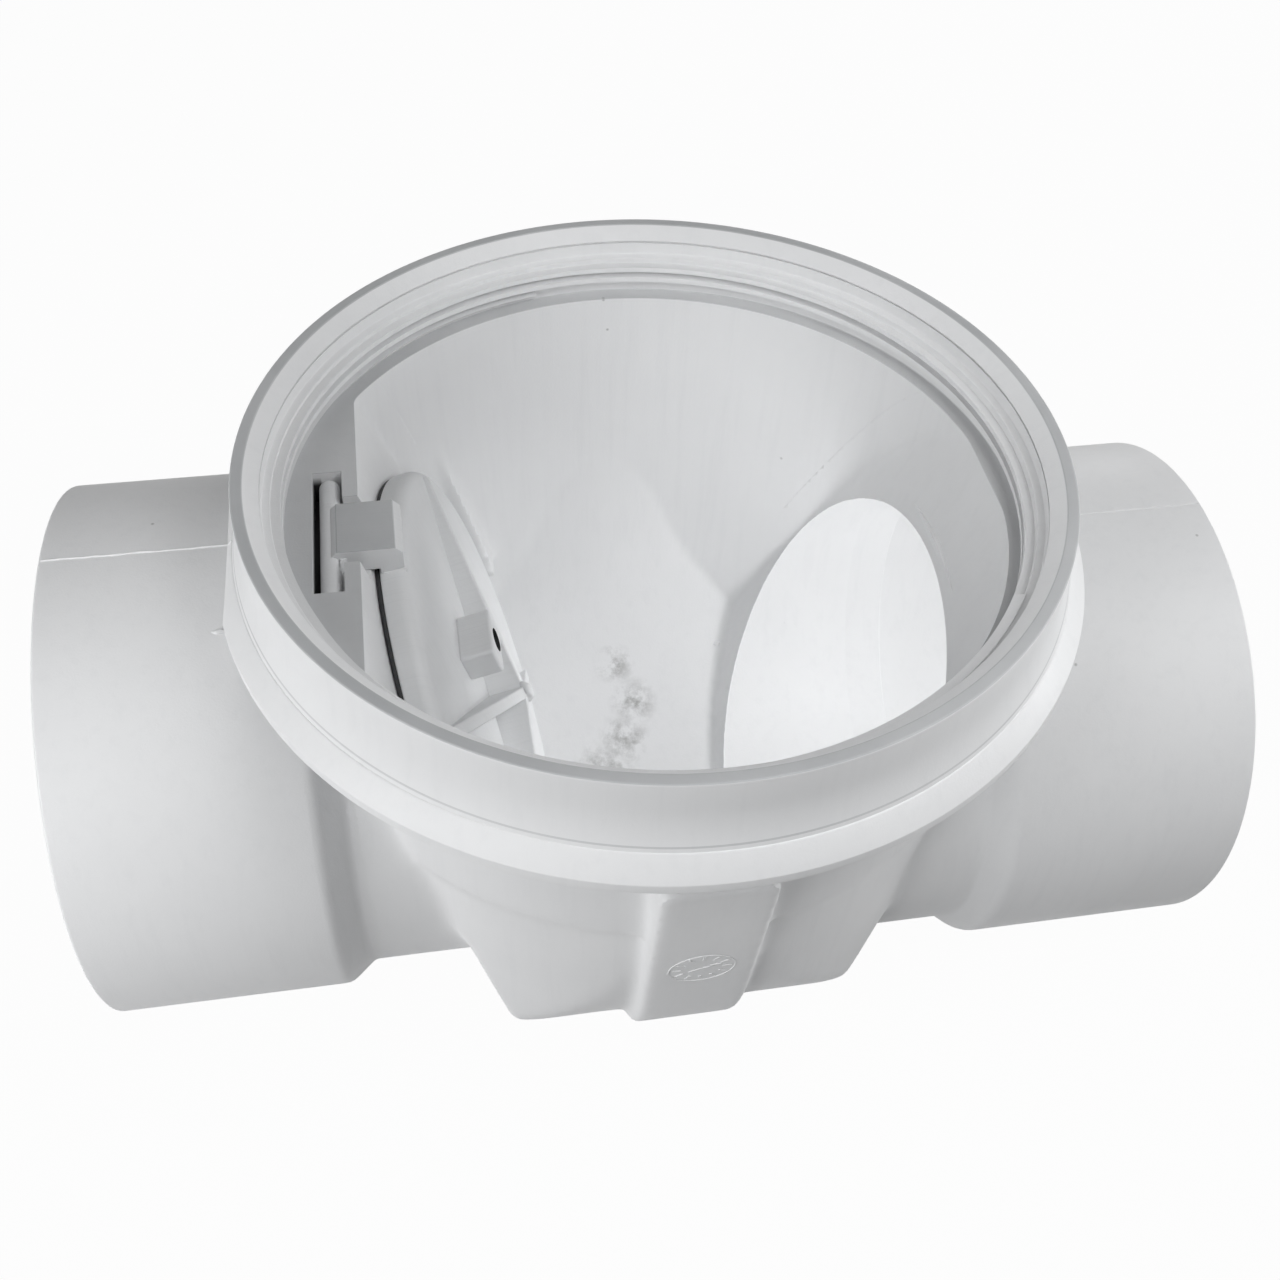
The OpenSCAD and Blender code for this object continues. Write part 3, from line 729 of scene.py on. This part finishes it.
def makeThread():
    ridge = [(-thread["footHalf"], thread["rootR"]), (-thread["crestHalf"], thread["crestR"]),
             (thread["crestHalf"], thread["crestR"]), (thread["footHalf"], thread["rootR"])]
    turned = Matrix.Rotation(thread["startAngle"], 3, "Z") @ alongFlow
    points = [at(0, 0, thread["bottom"] + z) + turned * r * mm for z, r in ridge]
    piece = drawLoop("capThread", points)
    bpy.ops.object.mode_set(mode="OBJECT")
    piece.data.transform(Matrix.Translation(-collarAxis))
    rise = thread["pitch"] * thread["turns"] * mm
    steps = round(thread["stepsPerTurn"] * thread["turns"])
    applyModifier(piece, "SCREW", angle=2 * math.pi * thread["turns"], axis="Z", screw_offset=rise,
                  steps=steps, render_steps=steps)
    piece.data.transform(Matrix.Translation(collarAxis))
    low = at(0, 0, thread["bottom"]).z
    for vert in piece.data.vertices:
        # the ridge sinks into the wall over the last part of a turn
        offset = vert.co - collarAxis
        radius = math.hypot(offset.x, offset.y) / mm
        along = min(max((vert.co.z - low) / rise, 0), 1) * thread["turns"]
        sink = 1 - min(along, thread["turns"] - along, thread["runOut"]) / thread["runOut"]
        grown = radius + (thread["rootR"] + thread["sunk"] - radius) * sink
        vert.co.x = collarAxis.x + offset.x * grown / radius
        vert.co.y = collarAxis.y + offset.y * grown / radius
    only(piece)
    bpy.ops.object.mode_set(mode="EDIT")
    tidyMesh(piece, 25)
    settle(piece, "valve_body", "body_pvc", mouldedPvc)


makeThread()
print("collar made")

# Hinge bar: a plain rod with domed ends
bar = {"radius": 3.3, "dome": 2.6, "steps": 48}
barLow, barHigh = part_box("hinge_bar")


def makeBar():
    middle = (barLow + barHigh) / 2
    half = (barHigh.y - barLow.y) / 2 / mm
    piece = spinPiece("hingeBar", [
        (-half, 0, 0), (-half, bar["radius"], bar["dome"]),
        (half, bar["radius"], bar["dome"]), (half, 0, 0),
    ], middle, acrossFlow, upward, bar["steps"])
    settle(piece, "hinge_bar", "flapper_pvc", cutPvc, "hinge_bar")


makeBar()

# Hinge arm: a block from the bar over the flapper's rim, rounded all along
arm = {"half": 11, "edgeRound": 1.4, "roundSteps": 4, "barEdge": -99.7, "fillet": 3.4, "filletSteps": 6,
       "filletLap": 0.3, "filletFoot": 87.5, "filletTop": 92.2}


def makeArm():
    piece = cadCopy("hingeArm", "hinge_arm")
    bpy.ops.object.mode_set(mode="EDIT")
    bpy.ops.mesh.select_all(action="SELECT")
    bpy.ops.mesh.dissolve_limited(angle_limit=math.radians(1))
    bpy.ops.object.mode_set(mode="OBJECT")
    roundEdges(piece, arm["edgeRound"], arm["roundSteps"], 40)
    # a hollow corner between each side of the arm and the bar
    inner = arm["half"] - arm["filletLap"]
    centre = Vector((arm["barEdge"] + arm["fillet"], inner + arm["fillet"]))
    turns = [math.pi / 2 * k / arm["filletSteps"] for k in range(arm["filletSteps"] + 1)]
    outline = [Vector((arm["barEdge"], inner))]
    outline += [centre - Vector((math.sin(turn), math.cos(turn))) * arm["fillet"] for turn in turns]
    rise = upward * (arm["filletTop"] - arm["filletFoot"]) * mm
    parts = [piece]
    for side in (-1, 1):
        points = [at(p.x, p.y * side, arm["filletFoot"]) for p in outline]
        parts.append(extrudePiece("armFillet", points, rise))
    settle(joinPieces(parts), "flapper", "flapper_pvc", cutPvc, "hinge_arm")


makeArm()


# Flapper: a thick disc with a rounded front edge, its gasket, the crossed ribs and the drilled block
def makeDisc():
    piece = spinPiece("flapperDisc", [
        (disc["back"], 0, 0),
        (disc["back"], disc["radius"], disc["backRound"]),
        (discFront, disc["radius"], disc["frontRound"]),
        (discFront, 0, 0),
    ], seatMiddle, seatOut, acrossFlow)
    settle(piece, "flapper", "flapper_pvc", cutPvc, "flapper_disc")


def makeGasket():
    back = gasket["seatGap"]
    front = back + gasket["pressed"]
    boreRound, outerRound = gasket["backRounds"]
    piece = spinPiece("flapperGasket", [
        (back, gasket["boreR"], boreRound), (back, gasket["outerR"], outerRound),
        (front, gasket["outerR"], gasket["frontRound"]), (front, gasket["boreR"], gasket["frontRound"]),
    ], seatMiddle, seatOut, acrossFlow)
    settle(piece, "flapper", "gasket_rubber", blackRubber, "flapper_gasket")


makeDisc()
makeGasket()

rib = {"height": 13.3, "endHeight": 1.5, "thick": 4.5, "start": 0.5, "reach": 84.5, "sink": 0.6,
       "edgeRound": 0.7}


def makeRib(name, node, angle, start, end):
    run = seatDown * math.cos(angle) + acrossFlow * math.sin(angle)
    across = seatOut.cross(run)
    base = onSeat(discFront, 0, 0)

    def height(s):
        return rib["height"] - (rib["height"] - rib["endHeight"]) * abs(s) / rib["reach"]

    outline = [(end, -rib["sink"]), (end, height(end))]
    if start < 0:
        outline.append((0, rib["height"]))
    outline += [(start, height(start)), (start, -rib["sink"])]
    points = [base + (run * s + seatOut * h - across * rib["thick"] / 2) * mm for s, h in outline]
    piece = extrudePiece(name, points, across * rib["thick"] * mm)
    roundEdges(piece, rib["edgeRound"])
    settle(piece, "flapper", "flapper_pvc", cutPvc, node)


makeRib("longRib", "long_rib", math.radians(-45), -rib["reach"], rib["reach"])
makeRib("lowerRib", "lower_rib", math.radians(45), rib["start"], rib["reach"])
makeRib("upperRib", "upper_rib", math.radians(225), rib["start"], rib["reach"])


def makeBoss():
    tall, wide = boss["height"] / 2, boss["width"] / 2
    corners = [(-tall, -wide), (tall, -wide), (tall, wide), (-tall, wide)]
    points = [onSeat(discFront - boss["sink"], -boss["up"] + d, s) for d, s in corners]
    piece = extrudePiece("liftBoss", points, seatOut * (boss["depth"] + boss["sink"]) * mm)
    roundEdges(piece, boss["edgeRound"], 4)
    top = discFront + boss["depth"]
    foot = top - boss["holeDepth"]
    hole = spinPiece("bossHole", [
        (foot, 0, 0), (foot, boss["holeR"], boss["holeRound"]), (top + 1, boss["holeR"], 0), (top + 1, 0, 0),
    ], onSeat(0, -boss["up"], 0), seatOut, acrossFlow, boss["holeSteps"])
    carve(piece, hole)
    settle(piece, "flapper", "flapper_pvc", cutPvc, "lift_boss")


makeBoss()
print("flapper made")


# Small things of the moulding and the gluing: seams, beads and nubs
seam = {"half": 0.6, "height": 0.4, "sink": 0.5, "step": 3.2, "wander": 0.16, "lift": 0.8, "seed": 11,
        "inletEnd": -129, "outletStart": 14, "mouthGap": 1, "flangeGap": 0.3}


def makeSeam(name, start, end, outward, look):
    # a thin uneven ridge, pulled along in short steps
    draw = random.Random(look["seed"])
    run = end - start
    side = outward.cross(run.normalized())
    ridge = [(-look["half"], -look["sink"]), (0, look["height"]), (look["half"], -look["sink"])]
    piece = drawLoop(name, [start + (side * s + outward * h) * mm for s, h in ridge])
    bpy.ops.mesh.edge_face_add()
    count = max(2, round(run.length / mm / look["step"]))
    sway = Vector((0, 0, 0))
    for _ in range(count):
        wander = (side * draw.uniform(-1, 1) + outward * draw.uniform(-look["lift"], look["lift"]))
        wander *= look["wander"] * mm
        bpy.ops.mesh.extrude_region_move(TRANSFORM_OT_translate={"value": run / count + wander - sway})
        sway = wander
    tidyMesh(piece, 60)
    settle(piece, "valve_body", "body_pvc", mouldedPvc)


hubTop = upward * valve["hubR"] * mm
mouthGap = alongFlow * seam["mouthGap"] * mm
inletMouth = Vector((inletHubLow.x, 0, inletNeckEnd.z))
outletMouth = Vector((outletHubHigh.x, 0, outletNeckEnd.z))
makeSeam("inletSeam", inletMouth + hubTop + mouthGap, at(seam["inletEnd"], 0, valve["hubR"]), upward, seam)
makeSeam("outletSeam", outletNeckEnd + hubTop + alongFlow * seam["outletStart"] * mm,
         outletMouth + hubTop - mouthGap, upward, seam)
slope = Vector((flange["edgeTop"] - flange["footTop"], 0, flange["edgeR"] - flange["footR"])).normalized()
makeSeam("flangeSeam", at(seam["flangeGap"] - flange["edgeR"], 0, flange["edgeTop"]),
         at(-flange["footR"], 0, flange["footTop"]), slope, seam)

# a thread of flash or glue, thicker and thinner along its way
bead = {"facets": 2, "jitter": 0.35, "widths": (0.5, 1.25)}


def makeBead(name, points, radius, seed, body, slot, finish):
    draw = random.Random(seed)
    curve = bpy.data.curves.new(name, "CURVE")
    curve.dimensions = "3D"
    curve.bevel_depth = radius * mm
    curve.bevel_resolution = bead["facets"]
    curve.use_fill_caps = True
    line = curve.splines.new("POLY")
    line.points.add(len(points) - 1)
    for spot, place in zip(line.points, points):
        jitter = Vector([draw.uniform(-1, 1) for _ in range(3)]) * radius * bead["jitter"] * mm
        spot.co = (*(place + jitter), 1)
        spot.radius = draw.uniform(*bead["widths"])
    piece = bpy.data.objects.new(name, curve)
    bpy.context.scene.collection.objects.link(piece)
    only(piece)
    bpy.ops.object.convert(target="MESH")
    bpy.ops.object.mode_set(mode="EDIT")
    tidyMesh(piece, 70)
    settle(piece, body, slot, finish)


# the trimmed edge of the outlet opening keeps a thread of flash on its far side
outletFlash = {"from": -85, "to": 60, "radius": 0.28, "seed": 5}


def onOutletEdge(angle):
    radius = valve["boreR"] + shell["trim"]
    drop = radius * math.sin(angle) - valve["outletDrop"]
    return at(valve["outletX"] + drop * math.tan(valve["outletTilt"]), radius * math.cos(angle), drop)


flashAngles = range(outletFlash["from"], outletFlash["to"])
makeBead("outletFlash", [onOutletEdge(math.radians(a)) for a in flashAngles], outletFlash["radius"],
         outletFlash["seed"], "valve_body", "body_pvc", mouldedPvc)

# glue under the arm's near side
armGlue = {"from": -87, "step": 0.9, "count": 9, "side": -11, "height": 84.5, "radius": 0.5, "seed": 3}
gluePlaces = [at(armGlue["from"] + armGlue["step"] * k, armGlue["side"], armGlue["height"])
              for k in range(armGlue["count"])]
makeBead("armGlue", gluePlaces, armGlue["radius"], armGlue["seed"], "flapper", "flapper_pvc", cutPvc)

# glue where the ribs cross, and nubs where the moulding was gated
lump = {"bumps": 12, "lifts": (-0.45, 0.5), "sharp": 6}
ribWeld = {"proud": 0.3, "size": (2.0, 3.2, 4.0), "seed": 4}
hubNub = {"place": (-136.7, -31.2, 86), "size": (2.0, 0.8, 0.7), "seed": 6}
wallNub = {"place": (49.2, 80.3, -69.2), "size": (1.3, 0.9, 0.9), "seed": 8}


def makeLump(name, place, axes, look, body, slot, finish):
    draw = random.Random(look["seed"])
    bpy.ops.object.select_all(action="DESELECT")
    bpy.ops.mesh.primitive_ico_sphere_add(subdivisions=3, radius=mm, location=(0, 0, 0))
    piece = bpy.context.object
    piece.name = piece.data.name = name
    bumps = [(Vector([draw.uniform(-1, 1) for _ in range(3)]).normalized(), draw.uniform(*lump["lifts"]))
             for _ in range(lump["bumps"])]
    for vert in piece.data.vertices:
        way = vert.co.normalized()
        swell = 1 + sum(lift * max(0, way.dot(bump)) ** lump["sharp"] for bump, lift in bumps)
        reach = sum((axes[k] * way[k] * look["size"][k] for k in range(3)), Vector())
        vert.co = place + reach * swell * mm
    only(piece)
    bpy.ops.object.mode_set(mode="EDIT")
    tidyMesh(piece, 60)
    settle(piece, body, slot, finish)


onDisc = (seatOut, acrossFlow, seatOut.cross(acrossFlow))
levelAxes = (alongFlow, acrossFlow, upward)
makeLump("ribWeld", onSeat(discFront + rib["height"] + ribWeld["proud"], 0, 0), onDisc, ribWeld,
         "flapper", "flapper_pvc", cutPvc)
for nubName, nub in (("hubNub", hubNub), ("wallNub", wallNub)):
    makeLump(nubName, at(*nub["place"]), levelAxes, nub, "valve_body", "body_pvc", mouldedPvc)

# a plain tick ring with a pointer on the front plate
tickRing = {
    "across": -1.4, "height": 8.6, "radius": 10.6, "line": 0.26, "taper": 0.6, "proud": 0.22, "sunk": 0.4,
    "steps": 72, "ticks": 12, "tickGap": 1.2, "tickLength": 2.8, "tickHalf": 0.42, "tickTip": 0.8,
    "aim": 25, "pointer": 6.5, "shaft": 0.7, "headFrom": 0.45, "headHalf": 3.2, "headTip": 0.1,
}


def makeTickRing():
    bowl = bpy.data.objects["sumpBowl"]
    place, facing = bowl.ray_cast(at(tickRing["across"], -200, tickRing["height"]), acrossFlow)[1:3]
    facing = Vector((0, facing.y, facing.z)).normalized()
    up = alongFlow.cross(-facing)
    if up.z < 0:
        up = -up
    radius, half = tickRing["radius"], tickRing["line"]
    crest = half * tickRing["taper"]
    low, high = -tickRing["sunk"], tickRing["proud"]
    parts = [spinPiece("tickRing", [
        (low, radius - half, 0), (high, radius - crest, 0),
        (high, radius + crest, 0), (low, radius + half, 0),
    ], place, facing, alongFlow, tickRing["steps"])]

    def addLine(name, turn, start, end, wide, tip):
        way = alongFlow * math.cos(turn) + up * math.sin(turn)
        side = facing.cross(way)
        corners = [(start, -wide), (end, -wide * tip), (end, wide * tip), (start, wide)]
        points = [place + (way * a + side * b + facing * low) * mm for a, b in corners]
        parts.append(extrudePiece(name, points, facing * (high - low) * mm))

    tickEnd = radius - tickRing["tickGap"]
    tickStart = tickEnd - tickRing["tickLength"]
    for i in range(tickRing["ticks"]):
        turn = 2 * math.pi * i / tickRing["ticks"]
        addLine("tick", turn, tickStart, tickEnd, tickRing["tickHalf"], tickRing["tickTip"])
    aim = math.radians(tickRing["aim"])
    shaft = tickRing["pointer"] * tickRing["shaft"]
    addLine("pointer", aim, -shaft, shaft, half, 1)
    addLine("pointerHead", aim, tickRing["pointer"] * tickRing["headFrom"], tickRing["pointer"],
            half * tickRing["headHalf"], tickRing["headTip"])
    settle(joinPieces(parts), "valve_body", "body_pvc", mouldedPvc)


makeTickRing()
print("small things made")

# Floor: pale and wide, seen as white with the valve's shadow kept
floorLook = {"size": 8, "below": 0.5, "tone": (0.42, 0.422, 0.425, 1), "rough": 0.9, "white": 0.97}


def seenStraight(wire):
    # 1 where the camera, a gloss or a clear piece looks at the surface
    rays = ("Is Camera Ray", "Is Glossy Ray", "Is Transmission Ray")
    return strongest(wire, [wire.make("ShaderNodeLightPath", {}, {}, ray) for ray in rays])


def makeFloor():
    bpy.ops.object.select_all(action="DESELECT")
    level = cadLow.z - floorLook["below"] * mm
    bpy.ops.mesh.primitive_plane_add(size=floorLook["size"], location=(0, 0, level))
    floor = bpy.context.object
    floor.name = "studioFloor"
    finish, wire, shader = newFinish("paleFloor")
    shader.inputs["Base Color"].default_value = floorLook["tone"]
    shader.inputs["Roughness"].default_value = floorLook["rough"]
    shader.inputs["Specular IOR Level"].default_value = 0.0
    amount = seenStraight(wire) * floorLook["white"]
    glow = wire.make("ShaderNodeEmission", {}, {"Color": (1, 1, 1, 1), "Strength": 1.0})
    surface = Wire(wire.tree, shader.outputs[0])
    mixed = wire.make("ShaderNodeMixShader", {}, {0: amount, 1: surface, 2: glow})
    output = wire.tree.nodes["Material Output"]
    wire.tree.links.new(mixed.socket, output.inputs["Surface"])
    floor.data.materials.append(finish)


makeFloor()

# Light: two broad boxes from the front left, a soft one from above, low ones from the right and the far
# right, and small ones over the outlet hub and inside its bore
lights = {
    "left": {"aim": (-150, -20, 0), "azimuth": -52, "elevation": 21, "distance": 0.75, "size": 0.5,
             "power": 3.9},
    "front": {"azimuth": -65, "elevation": 42, "size": 1.0, "power": 4.2},
    "top": {"azimuth": 42, "elevation": 56, "size": 1.0, "power": 5.3},
    "hub": {"aim": (165, 0, 20), "azimuth": 18, "elevation": 64, "distance": 0.45, "size": 0.25,
            "power": 0.68},
    "right": {"azimuth": 90, "elevation": 8, "size": 0.5, "power": 8.3},
    "far": {"azimuth": 155, "elevation": 10, "size": 0.5, "power": 4.0},
    "bore": {"aim": (108, 59.7, -69.6), "azimuth": 0, "elevation": 40, "distance": 0.138, "size": 0.04,
             "power": 0.1},
}
lampDistance = 1.6
lampTone = (0.99, 0.995, 1.0)
roomLight = {"tone": (1, 1, 1, 1), "strength": 0.015, "seen": 0.98}


def directionFrom(azimuth, elevation):
    # azimuth 0 is in front of the valve and 90 on the outlet's side
    turn, rise = math.radians(azimuth), math.radians(elevation)
    return Vector((math.sin(turn) * math.cos(rise), -math.cos(turn) * math.cos(rise), math.sin(rise)))


def makeLight(name, look):
    direction = directionFrom(look["azimuth"], look["elevation"])
    aim = at(*look.get("aim", (0, 0, 0)))
    bpy.ops.object.light_add(type="AREA", location=aim + direction * look.get("distance", lampDistance))
    lamp = bpy.context.object
    lamp.name = name
    lamp.rotation_euler = direction.to_track_quat("Z", "Y").to_euler()
    lamp.data.size = look["size"]
    lamp.data.energy = look["power"]
    lamp.data.color = lampTone
    lamp.visible_camera = False


for lightName, look in lights.items():
    makeLight(lightName + "Box", look)
world = bpy.data.worlds.new("room")
bpy.context.scene.world = world
world.use_nodes = True
backdrop = world.node_tree.nodes["Background"]
backdrop.inputs["Color"].default_value = roomLight["tone"]
# the room is seen as white, while its light on the valve stays low
roomSeen = seenStraight(Wire(world.node_tree))
roomLevel = roomLight["strength"] + roomSeen * (roomLight["seen"] - roomLight["strength"])
world.node_tree.links.new(roomLevel.socket, backdrop.inputs["Strength"])

# Camera: the photograph's own viewing place, in the valve's axes
cameraLook = {"place": (-68.00, -328.16, 400.01), "azimuth": -11.334, "elevation": 47.968, "roll": 2.914,
              "lens": 39.55, "sensor": 36, "nearest": 0.01}


def makeCamera():
    back = directionFrom(cameraLook["azimuth"], cameraLook["elevation"])
    level = directionFrom(cameraLook["azimuth"] + 90, 0)
    right = Matrix.Rotation(math.radians(cameraLook["roll"]), 3, back) @ level
    top = back.cross(right)
    bpy.ops.object.camera_add()
    camera = bpy.context.object
    turned = Matrix((right, top, back)).transposed().to_4x4()
    camera.matrix_world = Matrix.Translation(at(*cameraLook["place"])) @ turned
    camera.data.lens = cameraLook["lens"]
    camera.data.sensor_width = cameraLook["sensor"]
    camera.data.clip_start = cameraLook["nearest"]
    bpy.context.scene.camera = camera


makeCamera()
bpy.context.scene.view_settings.view_transform = "Standard"

print("scene ready")
